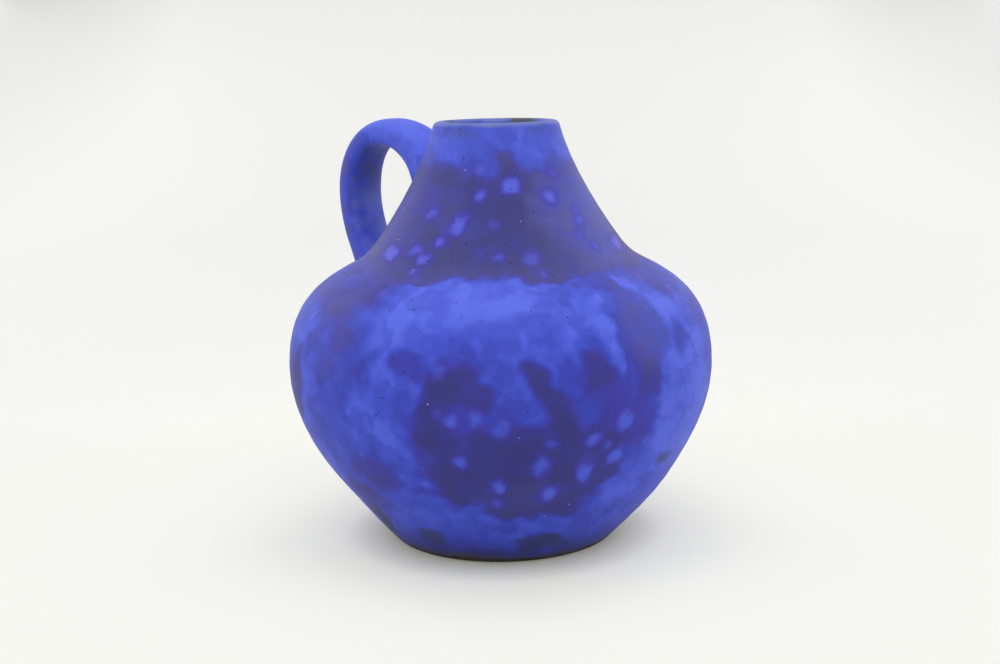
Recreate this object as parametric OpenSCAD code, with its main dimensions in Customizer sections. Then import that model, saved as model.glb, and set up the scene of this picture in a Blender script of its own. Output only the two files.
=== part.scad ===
// Handled studio vase in thrown stoneware: a wide belly, a tapering neck and a pulled strap handle,
// under a matte glaze. Millimetres. Z runs up the axis from the table, and the handle reaches to -X.

/* [Silhouette] */
// Height over the lip
height = 150; // [135:1:175]
// Diameter of the foot where the wall meets the table
foot_d = 80; // [66:1:94]
// Diameter of the belly at its widest, over the glaze
belly_d = 152.5; // [138:0.5:172]
// Height of the widest point of the belly
belly_z = 64; // [54:1:74]
// Diameter of the crease where the shoulder meets the neck
crease_d = 95.5; // [84:0.5:106]
// Height of the crease where the shoulder meets the neck
crease_z = 102.5; // [96:0.5:110]
// Diameter of the neck just under the lip, over the glaze
mouth_d = 45; // [36:0.5:56]

/* [Curves] */
// Rise of the wall from the table at the foot, in degrees
foot_angle = 46.5; // [40:0.5:56]
// Slope of the shoulder where it meets the neck, in degrees
shoulder_angle = 28; // [20:0.5:36]
// Slope of the neck where it leaves the shoulder, in degrees
neck_angle = 52; // [45:0.5:60]
// Slope of the neck under the lip, in degrees
lip_angle = 75; // [68:0.5:84]
// How far the wall is drawn straight up from the foot
foot_pull = 23.5; // [16:0.5:30]
// How far the wall is drawn upright below the widest point
low_pull = 24; // [16:0.5:32]
// How far the wall is drawn upright above the widest point
high_pull = 26.5; // [18:0.5:32]
// How far the shoulder is drawn straight toward the crease
shoulder_pull = 14.5; // [10:0.5:20]
// How far the neck is drawn straight from the crease
neck_pull = 18.5; // [12:0.5:24]
// How far the neck is drawn straight below the lip
lip_pull = 14; // [8:0.5:20]
// Length over which the crease is softened, each way
crease_soft = 5.5; // [2:0.5:9]

/* [Clay walls and foot] */
// Clay wall at the lip
lip_wall = 3.4; // [2.6:0.1:4.6]
// Clay wall at the foot
foot_wall = 6; // [4.5:0.1:8]
// Clay floor over the recess
floor_t = 6; // [4:0.1:8]
// Height over which the floor turns up into the wall inside
floor_rise = 9; // [5:0.5:14]
// Depth of the trimmed recess under the foot
recess_h = 1.5; // [0.8:0.1:3]
// Width of the ring that stands on the table
foot_ring_w = 9; // [6:0.5:16]
// Rounding of the foot's outer edge
foot_round = 1.2; // [0.6:0.1:2]

/* [Glaze] */
// Thickness of the outer glaze
glaze_t = 0.6; // [0.4:0.05:1]
// Thickness of the outer glaze at its lower edge
glaze_edge_t = 0.25; // [0.15:0.05:0.35]
// Height of the bare clay line above the round of the foot
bare_line = 0.9; // [0.5:0.1:4]
// Height over which the glaze thickens above the bare line
glaze_ramp = 8; // [4:0.5:14]
// How far the outer glaze runs down inside the mouth
mouth_dip = 12; // [8:0.5:20]
// Thickness of the glaze inside
liner_t = 0.5; // [0.3:0.05:0.8]

/* [Strap handle] */
// Width of the bare clay strap
strap_w = 18; // [13:0.1:22]
// Thickness of the bare clay strap past its taper
strap_t = 8; // [5:0.1:9]
// How much thicker the strap is inside the loop where it leaves the neck
taper_in = 6.4; // [3:0.1:8]
// Length from the neck over which the strap thins
taper_len = 44; // [30:1:52]
// Squareness of the strap's section: 2 is an oval
strap_square = 2.5; // [2:0.1:3.2]
// How far below the lip the strap's middle meets the neck
upper_drop = 15.6; // [13:0.1:22]
// Rise of the strap where it leaves the neck, in degrees
upper_angle = 44.5; // [36:0.5:54]
// How far the strap is drawn straight from the neck
upper_pull = 41; // [34:0.5:50]
// How far below the crease the strap's middle meets the shoulder
lower_drop = 7.1; // [6:0.1:12]
// Rise of the strap where it leaves the shoulder, in degrees
lower_angle = 58; // [52:0.5:68]
// How far the strap is drawn straight from the shoulder
lower_pull = 42.5; // [35:0.5:50]

/* [Upper root] */
// Spread of the upper root's fillet inside the loop
upper_fillet_in = 1.2; // [0.6:0.1:4]
// Spread of the upper root's fillet outside the loop
upper_fillet_out = 1; // [0.5:0.1:2.5]
// Spread of the upper root's fillet to each side
upper_fillet_side = 1; // [0.6:0.1:4]
// Length of the upper root's fillet along the strap
upper_fillet_len = 12; // [10:0.5:26]

/* [Lower root] */
// Spread of the lower root's fillet inside the loop
lower_fillet_in = 3; // [2:0.5:8]
// Spread of the lower root's fillet outside the loop
lower_fillet_out = 0.6; // [0.4:0.1:2.5]
// Spread of the lower root's fillet to each side
lower_fillet_side = 1; // [0.6:0.1:4]
// Length of the lower root's fillet along the strap
lower_fillet_len = 10; // [8:0.5:24]

/* [Hidden] */
clay = "#5b4a3f";
slip = "#6d5a4b";
cobalt = "#3f4bb8";
liner = "#4a4f52";
// Steps along each curve, and the sides and rings of the strap
wall_steps = 16;
arc_steps = 10;
soft_steps = 5;
sides = 24;
rings = 40;
// How close two points of an outline may lie
least_step = 0.4;
$fn = 120;

function direction(a) = [cos(a), sin(a)];
function reverse(list) = [for (i = [len(list) - 1:-1:0]) list[i]];
function trimmed(list) = [for (i = [0:len(list) - 2]) list[i]];
function total(list, n) = n < 1 ? 0 : list[n - 1] + total(list, n - 1);
function mix(a, b, t) = a + (b - a) * t;

// A curve c is four points: its start, two that it is drawn toward, and its end. t is a share of the way
function curve_at(c, t) =
    pow(1 - t, 3) * c[0] + 3 * t * pow(1 - t, 2) * c[1] + 3 * t * t * (1 - t) * c[2] + pow(t, 3) * c[3];
function slope_at(c, t) =
    3 * pow(1 - t, 2) * (c[1] - c[0]) + 6 * t * (1 - t) * (c[2] - c[1]) + 3 * t * t * (c[3] - c[2]);
function stretch(c, t0, t1, n) = [for (i = [0:n]) curve_at(c, mix(t0, t1, i / n))];
function bend(a, b, c, n) =
    [for (i = [1:n - 1]) let (t = i / n) pow(1 - t, 2) * a + 2 * t * (1 - t) * b + t * t * c];
function arc(middle, r, a0, a1, n) = [for (i = [0:n]) middle + r * direction(mix(a0, a1, i / n))];

// Outlines are lists of [radius, height]. Where one rises, left of its run is toward the axis.
function run_at(list, i) = list[min(i + 1, len(list) - 1)] - list[max(i - 1, 0)];
function left_of(v) = [-v.y, v.x] / norm(v);
function shifted(list, by) = [for (i = [0:len(list) - 1]) list[i] + by[i] * left_of(run_at(list, i))];
function evenly(list, by) = shifted(list, [for (p = list) by]);
function radius_at(list, z) = lookup(z, [for (p = list) [p.y, p.x]]);
function point_at(list, z) = [radius_at(list, z), z];
function above(list, z) = [for (p = list) if (p.y > z + least_step) p];
function below(list, z) = [for (p = list) if (p.y < z - least_step) p];

// The glazed outside, from the table to the rim: lower wall, shoulder, softened crease and neck
lip_r = lip_wall / 2 + glaze_t;
foot_p = [foot_d / 2, 0];
belly_p = [belly_d / 2, belly_z];
crease_p = [crease_d / 2, crease_z];
rim_p = [mouth_d / 2, height - lip_r * (1 - cos(lip_angle))];
lower_wall = [foot_p, foot_p + foot_pull * direction(foot_angle), belly_p - [0, low_pull], belly_p];
shoulder = [belly_p, belly_p + [0, high_pull],
            crease_p - shoulder_pull * direction(180 - shoulder_angle), crease_p];
neck = [crease_p, crease_p + neck_pull * direction(180 - neck_angle),
        rim_p - lip_pull * direction(180 - lip_angle), rim_p];
shoulder_end = 1 - crease_soft / (3 * shoulder_pull);
neck_start = crease_soft / (3 * neck_pull);
outside = concat(
    stretch(lower_wall, 0, 1 - 1 / wall_steps, wall_steps - 1),
    stretch(shoulder, 0, shoulder_end, wall_steps),
    bend(curve_at(shoulder, shoulder_end), crease_p, curve_at(neck, neck_start), soft_steps),
    stretch(neck, neck_start, 1, wall_steps));

// The clay under the outer glaze, from the bare line to the rim, with the glaze thin at its lower edge
round_end = foot_p + foot_round * direction(foot_angle);
glaze_low = round_end.y + bare_line;
function glaze_at(z) = mix(glaze_edge_t, glaze_t, min(1, (z - glaze_low) / glaze_ramp));
glazed = concat([point_at(outside, glaze_low)], above(outside, glaze_low));
under_glaze = shifted(glazed, [for (p = glazed) glaze_at(p.y)]);

// The lip is a half round, seen from outside to inside
lip_middle = rim_p - lip_r * direction(90 - lip_angle);
lip_glazed = arc(lip_middle, lip_r, 90 - lip_angle, 270 - lip_angle, arc_steps);
lip_clay = arc(lip_middle, lip_wall / 2, 90 - lip_angle, 270 - lip_angle, arc_steps);

// The clay inside, from the mouth down the wall, round the corner and over the floor to the axis
floor_top = recess_h + floor_t;
function wall_at(z) = mix(foot_wall, lip_wall, z / height);
inner_wall = reverse(shifted(outside, [for (p = outside) glaze_t + wall_at(p.y)]));
corner_top = point_at(inner_wall, floor_top + floor_rise);
corner_low = point_at(inner_wall, floor_top);
corner_end = corner_low - [norm(corner_top - corner_low), 0];
inside = concat(
    [for (i = [1:len(inner_wall) - 1]) if (inner_wall[i].y > corner_top.y + least_step) inner_wall[i]],
    [corner_top],
    bend(corner_top, corner_low, corner_end, arc_steps),
    [corner_end, [0, floor_top]]);
liner_face = evenly(inside, -liner_t);
mouth_face = evenly(inside, -glaze_t);
dip_z = height - mouth_dip;

// The strap's middle line from the neck to the shoulder, as [distance from the axis, height]
neck_seat = point_at(outside, height - upper_drop);
shoulder_seat = point_at(outside, crease_z - lower_drop);
upper_run = direction(upper_angle);
lower_run = direction(lower_angle);
strap_line = [neck_seat, neck_seat + upper_pull * upper_run,
              shoulder_seat + lower_pull * lower_run, shoulder_seat];
on_line = stretch(strap_line, 0, 1, rings);
spans = [for (i = [1:rings]) norm(on_line[i] - on_line[i - 1])];
from_neck = [for (i = [0:rings]) total(spans, i)];
line_len = from_neck[rings];
// The first and last ring lie this deep in the body, which cuts the roots to its surface
upper_depth = strap_w / 2 + upper_fillet_side;
lower_depth = strap_w / 2 + lower_fillet_side;
middles = concat([neck_seat - upper_depth * upper_run], on_line, [shoulder_seat - lower_depth * lower_run]);
runs = concat([upper_run], [for (i = [0:rings]) slope_at(strap_line, i / rings)], [-lower_run]);
seats = concat([0], from_neck, [line_len]);
last = rings + 2;

// A root fillet's spreads [side, outside, inside] at ring i, which die away along the strap
function fade(s) = pow(max(0, 1 - s), 2);
upper_fillet = [upper_fillet_side, upper_fillet_out, upper_fillet_in];
lower_fillet = [lower_fillet_side, lower_fillet_out, lower_fillet_in];
function spread_at(i) =
    fade(seats[i] / upper_fillet_len) * upper_fillet
    + fade((line_len - seats[i]) / lower_fillet_len) * lower_fillet;
upper_end = len([for (s = seats) if (s < upper_fillet_len) s]);
lower_start = last - len([for (s = seats) if (line_len - s < lower_fillet_len) s]);

// One ring of the strap: its section is a rounded flat, thicker near the neck inside the loop, and larger
// by a root fillet's spread and by a coat
function softened(v) = sign(v) * pow(abs(v), 2 / strap_square);
function section(i, spread, coat) =
    let (out = left_of(runs[i]),
         half_w = strap_w / 2 + spread[0] + coat,
         half_out = strap_t / 2 + spread[1] + coat,
         half_in = strap_t / 2 + taper_in * fade(seats[i] / taper_len) + spread[2] + coat)
    [for (k = [0:sides - 1])
        let (a = 360 * k / sides,
             h = softened(sin(a)) * (sin(a) > 0 ? half_out : half_in),
             p = middles[i] + h * out)
        [-p.x, softened(cos(a)) * half_w, p.y]];
function bare_ring(i) = section(i, [0, 0, 0], 0);
function root_ring(i) = section(i, spread_at(i), 0);
function glazed_ring(i) = section(i, spread_at(i), glaze_t);

// Triangles of the wall between rings that follow each other, of a ring-shaped end, and turned inside out
function joined(a, b, c, d) = [[a, b, c], [a, c, d]];
function wall_faces(first, count) =
    [for (i = [0:count - 2], k = [0:sides - 1])
        let (a = first + i * sides, n = (k + 1) % sides)
        each joined(a + k, a + n, a + sides + n, a + sides + k)];
function end_faces(outer, inner) =
    [for (k = [0:sides - 1])
        let (n = (k + 1) % sides)
        each joined(outer + k, inner + k, inner + n, outer + n)];
function flipped(faces) = [for (f = faces) reverse(f)];
function points_of(list) = [for (r = list) each r];
function turned(ring) = [for (k = [0:sides - 1]) ring[(sides - k) % sides]];

// A closed solid through a list of rings
module loft(list) {
    n = len(list);
    near_end = [for (k = [sides - 1:-1:0]) k];
    far_end = [for (k = [0:sides - 1]) (n - 1) * sides + k];
    polyhedron(points_of(list), concat(wall_faces(0, n), [near_end, far_end]));
}

// A tube between two lists of rings, open at both ends
module tube(outer, inner) {
    n = len(outer);
    skip = n * sides;
    end = (n - 1) * sides;
    faces = concat(wall_faces(0, n), flipped(wall_faces(skip, n)),
                   end_faces(0, skip), flipped(end_faces(end, skip + end)));
    polyhedron(concat(points_of(outer), points_of(inner)), faces);
}

// A collar between two lists of rings that run together at their last ring
module collar(outer, inner) {
    n = len(outer);
    edge = (n - 1) * sides;
    skip = n * sides;
    // The inner list stops one ring short, and its wall ends on the outer list's last ring
    inner_last = skip + (n - 2) * sides;
    closing = [for (k = [0:sides - 1])
        let (m = (k + 1) % sides)
        each joined(inner_last + k, inner_last + m, edge + m, edge + k)];
    faces = concat(wall_faces(0, n), flipped(wall_faces(skip, n - 1)), flipped(closing),
                   end_faces(0, skip));
    polyhedron(concat(points_of(outer), points_of([for (i = [0:n - 2]) inner[i]])), faces);
}

// The body filled to its axis, out to a surface that the roots are cut to
module filled(list) {
    ends = [[0, list[len(list) - 1].y], [0, list[0].y]];
    rotate_extrude() polygon(concat(list, ends));
}

// Rings of each root, from the one sunk in the body to the one where its fillet runs out
upper_rings = [for (i = [0:upper_end]) i];
lower_rings = [for (i = [last:-1:lower_start]) i];
module upper_plug() { loft([for (i = upper_rings) root_ring(i)]); }
module lower_plug() { loft([for (i = lower_rings) turned(root_ring(i))]); }

// Clay thrown on a wheel: a trimmed foot, walls that thin toward the lip, and a rounded lip
module thrown_body() {
    ring_in = foot_d / 2 - foot_ring_w;
    foot = concat(
        [[0, recess_h], [ring_in - recess_h, recess_h], [ring_in, 0], foot_p - [foot_round, 0]],
        bend(foot_p - [foot_round, 0], foot_p, round_end, soft_steps),
        [round_end],
        above(below(outside, glaze_low), round_end.y),
        [glazed[0]]);
    color(clay)
        rotate_extrude()
            polygon(concat(foot, trimmed(under_glaze), lip_clay, inside));
}

// Clay pulled into a flat strap and bent, with its ends cut to the neck and the shoulder
module strap_handle() {
    color(clay)
        difference() {
            loft([for (i = [0:last]) bare_ring(i)]);
            filled(under_glaze);
        }
}

// Soft clay worked round the strap where it joins the neck
module upper_root_fillet() {
    color(slip)
        difference() {
            collar([for (i = upper_rings) root_ring(i)], [for (i = upper_rings) bare_ring(i)]);
            filled(under_glaze);
        }
}

// Soft clay worked round the strap where it joins the shoulder
module lower_root_fillet() {
    color(slip)
        difference() {
            collar([for (i = lower_rings) turned(root_ring(i))],
                   [for (i = lower_rings) turned(bare_ring(i))]);
            filled(under_glaze);
        }
}

// Outer glaze from the bare line over the lip and down into the mouth, broken where the handle joins
module body_glaze() {
    color(cobalt)
        difference() {
            rotate_extrude()
                polygon(concat(
                    trimmed(glazed), lip_glazed, above(mouth_face, dip_z), [point_at(mouth_face, dip_z)],
                    [point_at(inside, dip_z)], reverse(above(inside, dip_z)), reverse(lip_clay),
                    reverse(trimmed(under_glaze))));
            upper_plug();
            lower_plug();
        }
}

// The same glaze over the strap and its root fillets, meeting the glaze on the body
module handle_glaze() {
    color(cobalt)
        difference() {
            tube([for (i = [0:last]) glazed_ring(i)], [for (i = [0:last]) root_ring(i)]);
            filled(glazed);
        }
}

// Thin glaze inside, from under the mouth to the floor
module liner_glaze() {
    color(liner)
        rotate_extrude()
            polygon(concat(
                [point_at(liner_face, dip_z)], below(liner_face, dip_z),
                reverse(below(inside, dip_z)), [point_at(inside, dip_z)]));
}

thrown_body();
strap_handle();
upper_root_fillet();
lower_root_fillet();
body_glaze();
handle_glaze();
liner_glaze();
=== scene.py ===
"""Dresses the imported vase: mottled matte cobalt glaze over thrown stoneware, in a plain white studio.

Sizes are in millimetres until a mesh is written, which is in metres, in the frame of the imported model.
"""

from __future__ import annotations

import logging
import math
from dataclasses import dataclass
from enum import Enum
from functools import partial
from typing import Any

import bmesh
import bpy
import numpy as np
from mathutils import Matrix, Vector, noise
from mathutils.bvhtree import BVHTree

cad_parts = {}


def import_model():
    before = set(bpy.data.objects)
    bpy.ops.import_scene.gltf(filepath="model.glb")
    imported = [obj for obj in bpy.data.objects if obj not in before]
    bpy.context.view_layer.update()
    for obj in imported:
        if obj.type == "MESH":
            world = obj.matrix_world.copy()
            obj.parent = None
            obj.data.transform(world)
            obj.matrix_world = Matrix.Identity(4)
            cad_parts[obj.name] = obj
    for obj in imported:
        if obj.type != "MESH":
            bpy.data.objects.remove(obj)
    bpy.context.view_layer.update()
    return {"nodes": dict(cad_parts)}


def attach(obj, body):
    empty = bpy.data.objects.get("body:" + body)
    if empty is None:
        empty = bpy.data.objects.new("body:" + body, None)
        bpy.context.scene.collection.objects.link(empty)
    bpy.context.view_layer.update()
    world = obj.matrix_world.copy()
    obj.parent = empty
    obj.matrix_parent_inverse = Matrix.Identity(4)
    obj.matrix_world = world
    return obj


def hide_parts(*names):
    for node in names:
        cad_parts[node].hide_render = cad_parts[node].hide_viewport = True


LOG = logging.getLogger("vase")
MM = 0.001
BODY = "root"
# Angle of the photograph's camera round the vase, in degrees, the bearing of the wall that faces it, and a
# step to the right as it sees the vase
CAMERA_TURN = 40.0
FRONT_BEARING = CAMERA_TURN - 90.0
RIGHT = (math.cos(math.radians(CAMERA_TURN)), math.sin(math.radians(CAMERA_TURN)), 0.0)
# Seed of the noise that bends the edges of what is laid out on the glaze
WANDER_SEED = 5
# Depth into a patch, in millimetres, of points that are far from any
FAR_OFF = -9.0
# Types of the nodes that are used most
MATH, VECTOR, RANGE = "ShaderNodeMath", "ShaderNodeVectorMath", "ShaderNodeMapRange"
MIX, NOISE, CELLS = "ShaderNodeMix", "ShaderNodeTexNoise", "ShaderNodeTexVoronoi"


class Slot(str, Enum):
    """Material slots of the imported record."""

    CLAY = "clay"
    COBALT = "cobalt_glaze"
    LINER = "liner_glaze"


def linear(hex_colour: str) -> tuple[float, float, float, float]:
    """Turns an sRGB hex colour to linear light.

    Args:
        hex_colour: Six hex digits after a hash sign.

    Returns:
        Red, green, blue and an alpha of 1.
    """
    parts = [int(hex_colour[i : i + 2], 16) / 255 for i in (1, 3, 5)]
    r, g, b = (c / 12.92 if c <= 0.04045 else ((c + 0.055) / 1.055) ** 2.4 for c in parts)
    return r, g, b, 1.0


def per_mm(size: float) -> float:
    """Texture scale whose features are about this many millimetres across."""
    return 1.0 / (size * MM)


def feed(node: bpy.types.Node, inputs: dict[Any, Any]) -> None:
    """Links sources to the inputs of a node, or sets them to constants.

    Args:
        node: The node.
        inputs: Socket name or number to a source socket, or to a constant.
    """
    for key, value in inputs.items():
        if isinstance(value, bpy.types.NodeSocket):
            node.id_data.links.new(value, node.inputs[key])
        else:
            node.inputs[key].default_value = value


def add_node(tree: bpy.types.NodeTree, kind: str, *first: Any, out: Any = 0, **named: Any) -> Any:
    """Adds a node with its settings and its links or constant inputs.

    Args:
        tree: Node tree that gets the node.
        kind: Node type.
        *first: Sources or constants for the first inputs, in order.
        out: Name or number of the output to return, or None for all of them.
        **named: Properties of the node, in small letters, and inputs by name, with _ for a space.

    Returns:
        The output socket or sockets.
    """
    node = tree.nodes.new(kind)
    for key, value in named.items():
        if key.islower():
            setattr(node, key, value)
    inputs = {key.replace("_", " "): value for key, value in named.items() if not key.islower()}
    feed(node, dict(enumerate(first)) | inputs)
    return node.outputs if out is None else node.outputs[out]


def set_ramp(node: Any, *stops: tuple[float, str]) -> None:
    """Sets the stops of a colour ramp.

    Args:
        node: A colour ramp node.
        *stops: Place and hex colour of each stop, in order.
    """
    band = node.color_ramp.elements
    while len(band) < len(stops):
        band.new(1.0)
    for element, (place, colour) in zip(band, stops):
        element.position = place
        element.color = linear(colour)


def new_material(name: str) -> tuple[bpy.types.Material, Any, Any, Any]:
    """Starts a node material.

    Args:
        name: Its name.

    Returns:
        The material, its shader, what adds a node to it, and the place on the piece as a socket.
    """
    made = bpy.data.materials.new(name)
    made.use_nodes = True
    add = partial(add_node, made.node_tree)
    return made, made.node_tree.nodes["Principled BSDF"], add, add("ShaderNodeTexCoord", out="Object")


def link(piece: bpy.types.Object) -> None:
    """Links an object to the scene."""
    bpy.context.scene.collection.objects.link(piece)


def smooth(low: float, high: float, value: np.ndarray) -> np.ndarray:
    """Eases from 0 at low to 1 at high."""
    t = np.clip((value - low) / (high - low), 0.0, 1.0)
    return t * t * (3.0 - 2.0 * t)


def toward(angle: float) -> np.ndarray:
    """Unit step at an angle in degrees, from outward round to up."""
    return np.array([math.cos(math.radians(angle)), math.sin(math.radians(angle))])


def from_front(points: np.ndarray, angle: float = 0.0) -> np.ndarray:
    """Degrees, from -180 to 180, that points lie round the axis from an angle counted from the front."""
    turn = np.degrees(np.arctan2(points[:, 1], points[:, 0])) - FRONT_BEARING - angle
    return (turn + 180) % 360 - 180


def on_cubic(points: list[np.ndarray], t: np.ndarray) -> np.ndarray:
    """Points of a cubic curve.

    Args:
        points: Start, the two points that it is drawn toward, and end.
        t: Shares of the way.

    Returns:
        One row for each share.
    """
    a, b, c, d = points
    t = t[:, None]
    return (1 - t) ** 3 * a + 3 * t * (1 - t) ** 2 * b + 3 * t**2 * (1 - t) * c + t**3 * d


def bend(a: np.ndarray, b: np.ndarray, c: np.ndarray, steps: int) -> np.ndarray:
    """Points of a soft corner from a to c, drawn toward b, with its ends left out."""
    t = np.linspace(0, 1, steps + 1)[1:-1, None]
    return (1 - t) ** 2 * a + 2 * t * (1 - t) * b + t**2 * c


def left_of(line: np.ndarray) -> np.ndarray:
    """Unit steps to the left of an outline's run, which is toward the axis where it rises.

    Args:
        line: Rows of radius and height.

    Returns:
        One step for each row.
    """
    run = np.gradient(line, axis=0)
    left = np.stack([-run[:, 1], run[:, 0]], axis=1)
    return left / np.maximum(np.linalg.norm(left, axis=1, keepdims=True), 1e-9)


def lengths(line: np.ndarray) -> np.ndarray:
    """Distance of each point of a line from its start, measured along it."""
    return np.concatenate([[0.0], np.cumsum(np.linalg.norm(np.diff(line, axis=0), axis=1))])


def evenly(line: np.ndarray, count: int) -> np.ndarray:
    """Points at equal distances along a line.

    Args:
        line: Rows of points.
        count: How many points to return, both ends among them.

    Returns:
        One row for each point.
    """
    run = lengths(line)
    at = np.linspace(0, run[-1], count)
    return np.stack([np.interp(at, run, line[:, k]) for k in range(line.shape[1])], axis=1)


@dataclass(frozen=True)
class Silhouette:
    """Outline of the thrown vase, as rows of radius and height, from three curves and a half-round lip."""

    height: float = 150.0
    foot_d: float = 80.0
    belly_d: float = 152.5
    belly_z: float = 64.0
    crease_d: float = 95.5
    crease_z: float = 102.5
    mouth_d: float = 45.0
    foot_angle: float = 46.5
    shoulder_angle: float = 28.0
    neck_angle: float = 52.0
    lip_angle: float = 75.0
    foot_pull: float = 23.5
    low_pull: float = 24.0
    high_pull: float = 26.5
    shoulder_pull: float = 14.5
    neck_pull: float = 18.5
    lip_pull: float = 14.0
    crease_soft: float = 5.5
    lip_wall: float = 3.4
    foot_wall: float = 6.0
    floor_t: float = 6.0
    floor_rise: float = 9.0
    recess_h: float = 1.5
    foot_ring_w: float = 9.0
    foot_round: float = 1.2
    glaze_t: float = 0.6
    glaze_edge_t: float = 0.25
    bare_line: float = 0.9
    glaze_ramp: float = 8.0
    mouth_dip: float = 12.0
    liner_t: float = 0.5
    # Steps on the soft crease, on the floor, on its corner, and on each curve where the outline is measured
    crease_steps: int = 8
    floor_steps: int = 16
    corner_steps: int = 14
    fine_steps: int = 80
    # Rows of the inner wall closer than this to the corner of the floor are left out
    corner_gap: float = 0.4

    @property
    def lip_r(self) -> float:
        """Radius of the lip over its glaze."""
        return self.lip_wall / 2 + self.glaze_t

    @property
    def rim(self) -> np.ndarray:
        """Point where the neck runs into the lip."""
        return np.array([self.mouth_d / 2, self.height - self.lip_r * (1 - toward(self.lip_angle)[0])])

    @property
    def glaze_low(self) -> float:
        """Height at which the outer glaze ends above the foot."""
        return self.foot_round * toward(self.foot_angle)[1] + self.bare_line

    def outside(self, steps: int) -> np.ndarray:
        """The glazed outside from the table to the rim.

        Args:
            steps: Steps on each of the three curves.

        Returns:
            Rows of radius and height.
        """
        foot = np.array([self.foot_d / 2, 0.0])
        belly = np.array([self.belly_d / 2, self.belly_z])
        crease = np.array([self.crease_d / 2, self.crease_z])
        rise = np.array([0.0, 1.0])
        low_run, neck_run, lip_run = (
            toward(180 - angle) for angle in (self.shoulder_angle, self.neck_angle, self.lip_angle)
        )
        lower = [foot, foot + self.foot_pull * toward(self.foot_angle), belly - self.low_pull * rise, belly]
        upper = [belly, belly + self.high_pull * rise, crease - self.shoulder_pull * low_run, crease]
        neck = [crease, crease + self.neck_pull * neck_run, self.rim - self.lip_pull * lip_run, self.rim]
        last = 1 - self.crease_soft / (3 * self.shoulder_pull)
        first = self.crease_soft / (3 * self.neck_pull)
        on_lower = on_cubic(lower, np.linspace(0, 1, steps + 1)[:-1])
        on_upper = on_cubic(upper, np.linspace(0, last, steps + 1))
        on_neck = on_cubic(neck, np.linspace(first, 1, steps + 1))
        soft = bend(on_upper[-1], crease, on_neck[0], self.crease_steps)
        return np.concatenate([on_lower, on_upper, soft, on_neck])

    def lip(self, radius: float, steps: int) -> np.ndarray:
        """Half round over the lip, from its outside to its inside.

        Args:
            radius: Radius of the half round.
            steps: Steps on it.

        Returns:
            Rows of radius and height.
        """
        middle = self.rim - self.lip_r * toward(90 - self.lip_angle)
        turn = np.radians(np.linspace(90 - self.lip_angle, 270 - self.lip_angle, steps + 1))
        return middle + radius * np.stack([np.cos(turn), np.sin(turn)], axis=1)

    def inner(self, steps: int, extra: float) -> np.ndarray:
        """The clay's inner wall from the rim down, moved further toward the axis.

        Args:
            steps: Steps on each of the three curves.
            extra: Thickness of the coat on the inner wall.

        Returns:
            Rows of radius and height.
        """
        line = self.outside(steps)
        wall = self.foot_wall + (self.lip_wall - self.foot_wall) * line[:, 1] / self.height
        return (line + (self.glaze_t + wall + extra)[:, None] * left_of(line))[::-1]

    def hollow(self, steps: int, extra: float) -> np.ndarray:
        """The inner face of the vase from the rim down, round the corner and over the floor to the axis.

        Args:
            steps: Steps on each of the three curves.
            extra: Thickness of the coat on it.

        Returns:
            Rows of radius and height.
        """
        line = self.inner(steps, extra)
        floor = self.recess_h + self.floor_t + extra
        top_z = floor + self.floor_rise
        rising = line[np.argsort(line[:, 1])]
        low, top = (np.array([np.interp(z, rising[:, 1], rising[:, 0]), z]) for z in (floor, top_z))
        end = low - np.array([np.linalg.norm(top - low), 0.0])
        wall = line[line[:, 1] > top_z + self.corner_gap]
        flat = np.stack([np.linspace(end[0], 0, self.floor_steps), np.full(self.floor_steps, floor)], axis=1)
        return np.concatenate([wall, [top], bend(top, low, end, self.corner_steps), flat])

    def radius_at(self, z: np.ndarray) -> np.ndarray:
        """Radius of the outside at a height."""
        line = self.outside(self.fine_steps)
        return np.interp(z, line[:, 1], line[:, 0])

    def run_at(self, z: np.ndarray) -> np.ndarray:
        """Distance up the outside from the table to a height."""
        line = self.outside(self.fine_steps)
        return np.interp(z, line[:, 1], lengths(line))


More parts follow.
